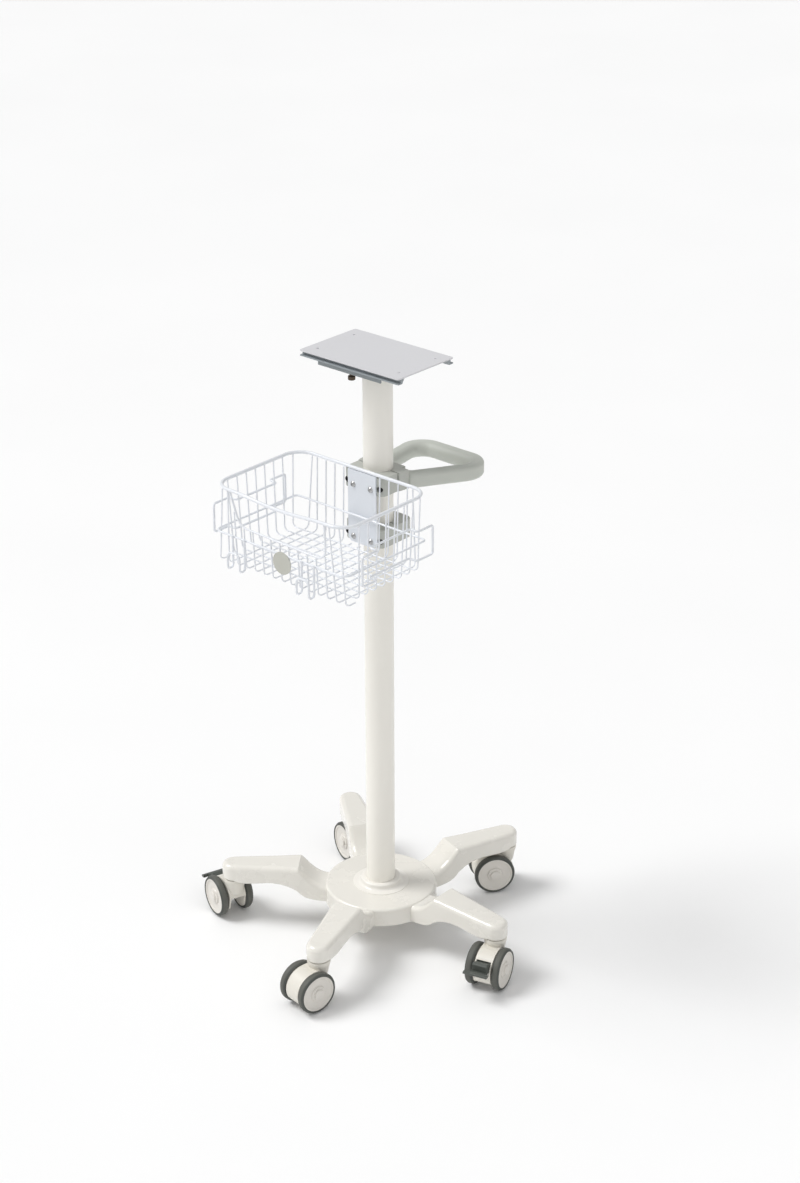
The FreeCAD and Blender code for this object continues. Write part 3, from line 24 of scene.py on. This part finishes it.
# ------------------------------------------------------------------ colour helpers
def lin(rgb):
    """0-255 display colour to a linear one."""
    out = []
    for c in rgb:
        c = c / 255.0
        out.append(c / 12.92 if c <= 0.04045 else ((c + 0.055) / 1.055) ** 2.4)
    return (*out, 1.0)


class Mat:
    """A small builder for procedural materials."""

    def __init__(self, name, rough=0.4, metallic=0.0, coat=0.0, coat_rough=0.1, spec=0.5, sheen=0.0, ior=1.5):
        self.m = bpy.data.materials.new(name)
        self.m.use_nodes = True
        self.t = self.m.node_tree
        self.n = self.t.nodes
        self.n.clear()
        self.out = self.n.new("ShaderNodeOutputMaterial")
        self.b = self.n.new("ShaderNodeBsdfPrincipled")
        self.t.links.new(self.b.outputs[0], self.out.inputs[0])
        self.b.inputs["Roughness"].default_value = rough
        self.b.inputs["Metallic"].default_value = metallic
        self.b.inputs["Coat Weight"].default_value = coat
        self.b.inputs["Coat Roughness"].default_value = coat_rough
        self.b.inputs["Specular IOR Level"].default_value = spec
        self.b.inputs["Sheen Weight"].default_value = sheen
        self.b.inputs["IOR"].default_value = ior
        self.tc = self.n.new("ShaderNodeTexCoord")
        self.rough = rough

    def link(self, a, b):
        self.t.links.new(a, b)

    def coords(self, scale=(1, 1, 1), loc=(0, 0, 0), rot=(0, 0, 0)):
        mp = self.n.new("ShaderNodeMapping")
        mp.inputs["Scale"].default_value = scale
        mp.inputs["Location"].default_value = loc
        mp.inputs["Rotation"].default_value = rot
        self.link(self.tc.outputs["Object"], mp.inputs["Vector"])
        return mp.outputs[0]

    def noise(self, scale, detail=4.0, rough=0.55, vec=None, distortion=0.0):
        nz = self.n.new("ShaderNodeTexNoise")
        nz.inputs["Scale"].default_value = scale
        nz.inputs["Detail"].default_value = detail
        nz.inputs["Roughness"].default_value = rough
        nz.inputs["Distortion"].default_value = distortion
        self.link(vec if vec is not None else self.tc.outputs["Object"], nz.inputs["Vector"])
        return nz.outputs["Fac"]

    def ramp(self, fac, stops):
        r = self.n.new("ShaderNodeValToRGB")
        els = r.color_ramp.elements
        while len(els) < len(stops):
            els.new(0.5)
        for e, (p, c) in zip(els, stops):
            e.position = p
            e.color = c
        self.link(fac, r.inputs[0])
        return r.outputs[0]

    def maprange(self, fac, a, b, c, d):
        m = self.n.new("ShaderNodeMapRange")
        for i, v in enumerate((a, b, c, d)):
            m.inputs[1 + i].default_value = v
        self.link(fac, m.inputs[0])
        return m.outputs[0]

    def math(self, op, a, b=None, clamp=False):
        m = self.n.new("ShaderNodeMath")
        m.operation = op
        m.use_clamp = clamp
        for i, v in enumerate((a, b)):
            if v is None:
                continue
            if isinstance(v, (int, float)):
                m.inputs[i].default_value = v
            else:
                self.link(v, m.inputs[i])
        return m.outputs[0]

    def mix(self, fac, a, b):
        m = self.n.new("ShaderNodeMix")
        m.data_type = "RGBA"
        if isinstance(fac, (int, float)):
            m.inputs[0].default_value = fac
        else:
            self.link(fac, m.inputs[0])
        for sock, v in ((m.inputs[6], a), (m.inputs[7], b)):
            if isinstance(v, tuple):
                sock.default_value = v
            else:
                self.link(v, sock)
        return m.outputs[2]

    def bump(self, heights):
        """heights: list of (height socket, distance in metres, strength)."""
        last = None
        for h, dist, strength in heights:
            bp = self.n.new("ShaderNodeBump")
            bp.inputs["Distance"].default_value = dist
            bp.inputs["Strength"].default_value = strength
            self.link(h, bp.inputs["Height"])
            if last is not None:
                self.link(last, bp.inputs["Normal"])
            last = bp.outputs[0]
        self.link(last, self.b.inputs["Normal"])
        return last

    def base(self, sock):
        self.link(sock, self.b.inputs["Base Color"])

    def roughness(self, sock):
        self.link(sock, self.b.inputs["Roughness"])

    def edges(self, lo=0.50, hi=0.56):
        """0 on flats, 1 on convex edges."""
        g = self.n.new("ShaderNodeNewGeometry")
        return self.maprange(g.outputs["Pointiness"], lo, hi, 0.0, 1.0)


def dim(c, k):
    return (c[0] * k, c[1] * k, c[2] * k, 1.0)


def paint(name, rgb, rough=0.32, coat=0.35, orange=0.00004, scale=420.0, vary=0.03, dust=0.03, warm=(1.0, 0.985, 0.955)):
    """Coated metal: orange peel, faint tone drift, light rub marks and a painted highlight along convex edges."""
    m = Mat(name, rough=rough, coat=coat, coat_rough=0.14)
    c = lin(rgb)
    drift = m.noise(3.2, 3.0)
    fine = m.noise(38.0, 5.0, 0.6)
    tone = m.ramp(drift, [(0.3, dim(c, 1.0 - vary)), (0.7, dim(c, 1.0))])
    grime = m.maprange(fine, 0.56, 0.80, 0.0, dust)
    tone = m.mix(grime, tone, dim(lin((176, 168, 150)), 1.0))
    # painted highlight: convex edges (pointiness mask) lightened by up to 5 percent
    tone = m.mix(m.math("MULTIPLY", m.edges(), 0.10), tone, dim(c, 1.05))
    m.base(tone)
    m.roughness(m.maprange(m.noise(14.0, 6.0, 0.65), 0.3, 0.7, rough - 0.05, rough + 0.09))
    m.bump([(m.noise(scale, 2.0, 0.5), orange, 0.35), (m.noise(scale * 0.16, 2.0, 0.5), orange * 2.0, 0.16)])
    return m.m


def brushed(name, rgb, rough=0.34, axis="X", metallic=1.0, scale=900.0, dark=0.75):
    """Drawn or brushed metal with fine lines along an axis."""
    m = Mat(name, rough=rough, metallic=metallic)
    c = lin(rgb)
    k = {"X": (0.02, 1, 1), "Y": (1, 0.02, 1), "Z": (1, 1, 0.02)}[axis]
    lines = m.noise(scale, 3.0, 0.6, vec=m.coords(scale=k))
    m.base(m.ramp(lines, [(0.30, dim(c, dark)), (0.70, dim(c, 1.0))]))
    m.roughness(m.maprange(lines, 0.3, 0.7, rough - 0.06, rough + 0.12))
    m.bump([(lines, 0.00002, 0.25), (m.noise(60.0, 3.0), 0.00004, 0.10)])
    return m.m


def moulded(name, rgb, rough=0.5, grain=0.00006, scale=900.0, spec=0.45, vary=0.05, sheen=0.0, coat=0.0):
    """Moulded plastic: fine spark-eroded grain with slight gloss drift."""
    m = Mat(name, rough=rough, spec=spec, sheen=sheen, coat=coat, coat_rough=0.2)
    c = lin(rgb)
    cells = m.n.new("ShaderNodeTexVoronoi")
    cells.inputs["Scale"].default_value = scale
    m.link(m.tc.outputs["Object"], cells.inputs["Vector"])
    tone = m.ramp(m.noise(6.0, 4.0), [(0.3, dim(c, 1.0 - vary)), (0.7, dim(c, 1.0))])
    # painted highlight: convex edges (pointiness mask) lightened by up to 12 percent
    tone = m.mix(m.math("MULTIPLY", m.edges(), 0.12), tone, dim(c, 1.12))
    m.base(tone)
    m.roughness(m.maprange(m.noise(26.0, 5.0, 0.6), 0.3, 0.7, rough - 0.06, rough + 0.08))
    m.bump([(cells.outputs["Distance"], grain, 0.35), (m.noise(scale * 0.4, 3.0), grain, 0.25)])
    return m.m


def wheel_mat(name, centre, axis, rgb_disc, rgb_tyre, split=0.0321):
    """Light moulded disc inside, grey tyre outside, divided by the distance from the axle."""
    m = Mat(name, rough=0.4, spec=0.45)
    a = Vector(axis).normalized()
    sub = m.n.new("ShaderNodeVectorMath")
    sub.operation = "SUBTRACT"
    sub.inputs[1].default_value = centre
    m.link(m.tc.outputs["Object"], sub.inputs[0])
    dot = m.n.new("ShaderNodeVectorMath")
    dot.operation = "DOT_PRODUCT"
    dot.inputs[1].default_value = a
    m.link(sub.outputs[0], dot.inputs[0])
    ln = m.n.new("ShaderNodeVectorMath")
    ln.operation = "LENGTH"
    m.link(sub.outputs[0], ln.inputs[0])
    r2 = m.math("SUBTRACT", m.math("MULTIPLY", ln.outputs["Value"], ln.outputs["Value"]),
                m.math("MULTIPLY", dot.outputs["Value"], dot.outputs["Value"]))
    rad = m.math("SQRT", m.math("MAXIMUM", r2, 0.0))
    is_tyre = m.math("GREATER_THAN", rad, split)
    disc, tyre = lin(rgb_disc), lin(rgb_tyre)
    fine = m.noise(30.0, 5.0, 0.6)
    tyre_c = m.ramp(fine, [(0.3, dim(tyre, 0.82)), (0.7, dim(tyre, 1.12))])
    tread = m.maprange(rad, 0.0362, 0.0374, 0.0, 0.30)
    tyre_c = m.mix(tread, tyre_c, lin((118, 116, 108)))
    disc_c = m.ramp(fine, [(0.3, dim(disc, 0.96)), (0.7, dim(disc, 1.0))])
    m.base(m.mix(is_tyre, disc_c, tyre_c))
    m.roughness(m.maprange(is_tyre, 0.0, 1.0, 0.34, 0.58))
    rings = m.math("SINE", m.math("MULTIPLY", rad, 2600.0))
    fine_b = m.noise(900.0, 3.0, 0.6)
    m.bump([(m.math("MULTIPLY", m.math("MULTIPLY", rings, is_tyre), 0.35), 0.00008, 0.20), (fine_b, 0.00005, 0.20)])
    return m.m


# ------------------------------------------------------------------ materials
M_BASE = paint("cast_base_coat", (235, 232, 224), rough=0.24, coat=0.65, orange=0.00006, scale=300.0)
M_COLLAR = paint("collar_moulding", (240, 237, 230), rough=0.34, coat=0.25, orange=0.00003, scale=500.0)
M_POLE = paint("pole_coat", (244, 241, 233), rough=0.34, coat=0.30, orange=0.00004, scale=520.0)
M_PLATE = paint("plate_coat", (214, 214, 217), rough=0.42, coat=0.10, orange=0.00005, scale=900.0, vary=0.02)
M_RAIL = paint("rail_coat", (146, 153, 157), rough=0.36, coat=0.20, orange=0.00004, scale=800.0)
M_BRACKET = paint("head_bracket_coat", (138, 145, 148), rough=0.42, coat=0.15, orange=0.00005, scale=700.0)
M_CLAMP = paint("clamp_coat", (186, 188, 181), rough=0.40, coat=0.18, orange=0.00005, scale=700.0)
M_HANDLE = moulded("handle_grain", (198, 201, 193), rough=0.46, grain=0.00007, scale=1100.0, sheen=0.05)
M_BP = paint("bracket_plate_coat", (222, 226, 232), rough=0.36, coat=0.25, orange=0.00005, scale=600.0)
M_WIRE = paint("wire_coat", (232, 235, 240), rough=0.28, coat=0.5, orange=0.00003, scale=800.0, vary=0.02)
M_BADGE = moulded("badge_face", (190, 190, 181), rough=0.38, grain=0.00004, scale=1400.0)
M_STEEL = brushed("bright_steel", (196, 196, 196), rough=0.26, axis="Z")
M_AXLE = brushed("axle_steel", (170, 170, 172), rough=0.30, axis="X")
M_BLACK = brushed("black_oxide", (44, 44, 46), rough=0.36, axis="Z", metallic=0.6, dark=0.6)
M_BUMPER = moulded("bumper_rubber", (232, 232, 226), rough=0.55, spec=0.35)
M_INNER = moulded("inner_plastic", (60, 60, 60), rough=0.6)
M_HOUSE = moulded("caster_housing_plastic", (226, 222, 212), rough=0.36, grain=0.00004, scale=1200.0, coat=0.15)
M_LOCK = brushed("lock_screw_metal", (104, 92, 80), rough=0.32, axis="Z", metallic=0.9, dark=0.45)
M_PEDAL = moulded("pedal_plastic", (80, 84, 79), rough=0.44, grain=0.00006, scale=900.0)

PLAN = {
    "base_casting": M_BASE, "pole_collar": M_COLLAR, "pole_tube": M_POLE, "pole_foot_plug": M_INNER, "pole_bolt": M_STEEL,
    "pole_top_insert": M_INNER, "pole_top_flange": M_BRACKET, "head_bracket": M_BRACKET, "head_bracket_screws": M_STEEL,
    "device_plate": M_PLATE, "plate_front_rail": M_RAIL, "plate_rear_rail": M_RAIL, "lock_screw": M_LOCK, "detent_knob": M_BLACK,
    "bumper_dome": M_BUMPER, "upper_clamp_front": M_CLAMP, "handle_clamp_rear": M_CLAMP, "lower_clamp_front": M_CLAMP,
    "lower_clamp_rear": M_CLAMP, "handle_loop": M_HANDLE, "handle_pins": M_STEEL, "clamp_screws": M_BLACK, "bracket_plate": M_BP,
    "basket_screws": M_STEEL, "basket_rim": M_WIRE, "basket_belt": M_WIRE, "basket_mouth_wire": M_WIRE, "basket_floor": M_WIRE,
    "basket_front": M_WIRE, "basket_rear": M_WIRE, "basket_left": M_WIRE, "basket_right": M_WIRE, "basket_hooks": M_WIRE,
    "left_cord_wrap": M_WIRE, "right_cord_wrap": M_WIRE, "badge_disc": M_BADGE, "caster_stems": M_STEEL,
}
SWIVEL = {"a": (216, 162), "b": (288, 261), "c": (0, 286), "d": (72, 233), "e": (144, 340)}
STEM_R, TRAIL, AXLE_Z, TRACK = 0.2665, 0.0255, 0.0375, 0.025


def caster_point(l, x, y, z):
    """A point given in a caster's own axes (x trailing, y along the axle), in the row frame."""
    arm, sw = (math.radians(v) for v in SWIVEL[l])
    return Vector((SX + STEM_R * math.cos(arm) + x * math.cos(sw) - y * math.sin(sw),
                   SY + STEM_R * math.sin(arm) + x * math.sin(sw) + y * math.cos(sw), z))


for l in "abcde":
    PLAN["caster_housing_" + l] = M_HOUSE
    PLAN["caster_axle_" + l] = M_AXLE
    sw = math.radians(SWIVEL[l][1])
    ax = (-math.sin(sw), math.cos(sw), 0.0)
    wm = wheel_mat("wheel_" + l, tuple(caster_point(l, TRAIL, 0, AXLE_Z)), ax, (224, 220, 213), (78, 81, 77))
    for side in ("left", "right"):
        PLAN["wheel_%s_%s" % (l, side)] = wm
    if l in "ac":
        PLAN["brake_pedal_" + l] = M_PEDAL

for name, ob in NODES.items():
    ob.data.materials.clear()
    ob.data.materials.append(PLAN[name])


# ------------------------------------------------------------------ floor, light, camera
def floor_material():
    m = Mat("studio_floor", rough=0.75, spec=0.2)
    n = m.noise(1.5, 2.0)
    m.base(m.ramp(n, [(0.3, (0.94, 0.94, 0.94, 1)), (0.7, (0.955, 0.955, 0.955, 1))]))
    return m.m


me = bpy.data.meshes.new("floor")
bm = bmesh.new()
bmesh.ops.create_grid(bm, x_segments=8, y_segments=8, size=12.0)
bm.to_mesh(me)
bm.free()
floor = bpy.data.objects.new("floor", me)
bpy.context.scene.collection.objects.link(floor)
floor.location = (0, 0, -0.0004)
me.materials.append(floor_material())


def area(name, loc, target, size, power, colour=(1, 1, 1)):
    li = bpy.data.lights.new(name, "AREA")
    li.shape = "RECTANGLE"
    li.size, li.size_y = size
    li.energy = power
    li.color = colour
    ob = bpy.data.objects.new(name, li)
    ob.location = loc
    ob.rotation_euler = (Vector(target) - Vector(loc)).to_track_quat("-Z", "Y").to_euler()
    bpy.context.scene.collection.objects.link(ob)
    return ob


def sun(name, direction, strength, angle):
    li = bpy.data.lights.new(name, "SUN")
    li.energy = strength
    li.angle = math.radians(angle)
    ob = bpy.data.objects.new(name, li)
    ob.rotation_euler = Vector(direction).to_track_quat("-Z", "Y").to_euler()
    bpy.context.scene.collection.objects.link(ob)
    return ob


sun("key", (0.62, 0.50, -1.10), 1.80, 26)
sun("fill", (-0.9, 0.35, -0.9), 0.30, 60)
area("strip", (-2.6, -2.2, 1.6), (0, 0, 0.55), (0.5, 2.2), 6)

world = bpy.data.worlds.new("studio")
bpy.context.scene.world = world
world.use_nodes = True
bg = world.node_tree.nodes["Background"]
bg.inputs[0].default_value = (1.0, 1.0, 1.0, 1.0)
bg.inputs[1].default_value = 0.50

sc = bpy.context.scene
sc.view_settings.view_transform = "Standard"
sc.view_settings.look = "None"
sc.view_settings.exposure = 0.0
sc.view_settings.gamma = 1.0

cam_data = bpy.data.cameras.new("camera")
cam_data.sensor_width = 36.0
cam_data.sensor_fit = "AUTO"
cam_data.lens = 2549.92 * 36.0 / 1183.0
cam_data.clip_start, cam_data.clip_end = 0.05, 100.0
cam = bpy.data.objects.new("camera", cam_data)
R = Vector((0.75218782, 0.6589439, -0.00253614))
U = Vector((-0.27818053, 0.32102877, 0.90529339))
B = Vector((0.59735173, -0.68024515, 0.42477929))
cam.matrix_world = Matrix(((R.x, U.x, B.x, 2.62682 + SX), (R.y, U.y, B.y, -2.93706 + SY), (R.z, U.z, B.z, 2.51277), (0, 0, 0, 1)))
sc.collection.objects.link(cam)
sc.camera = cam
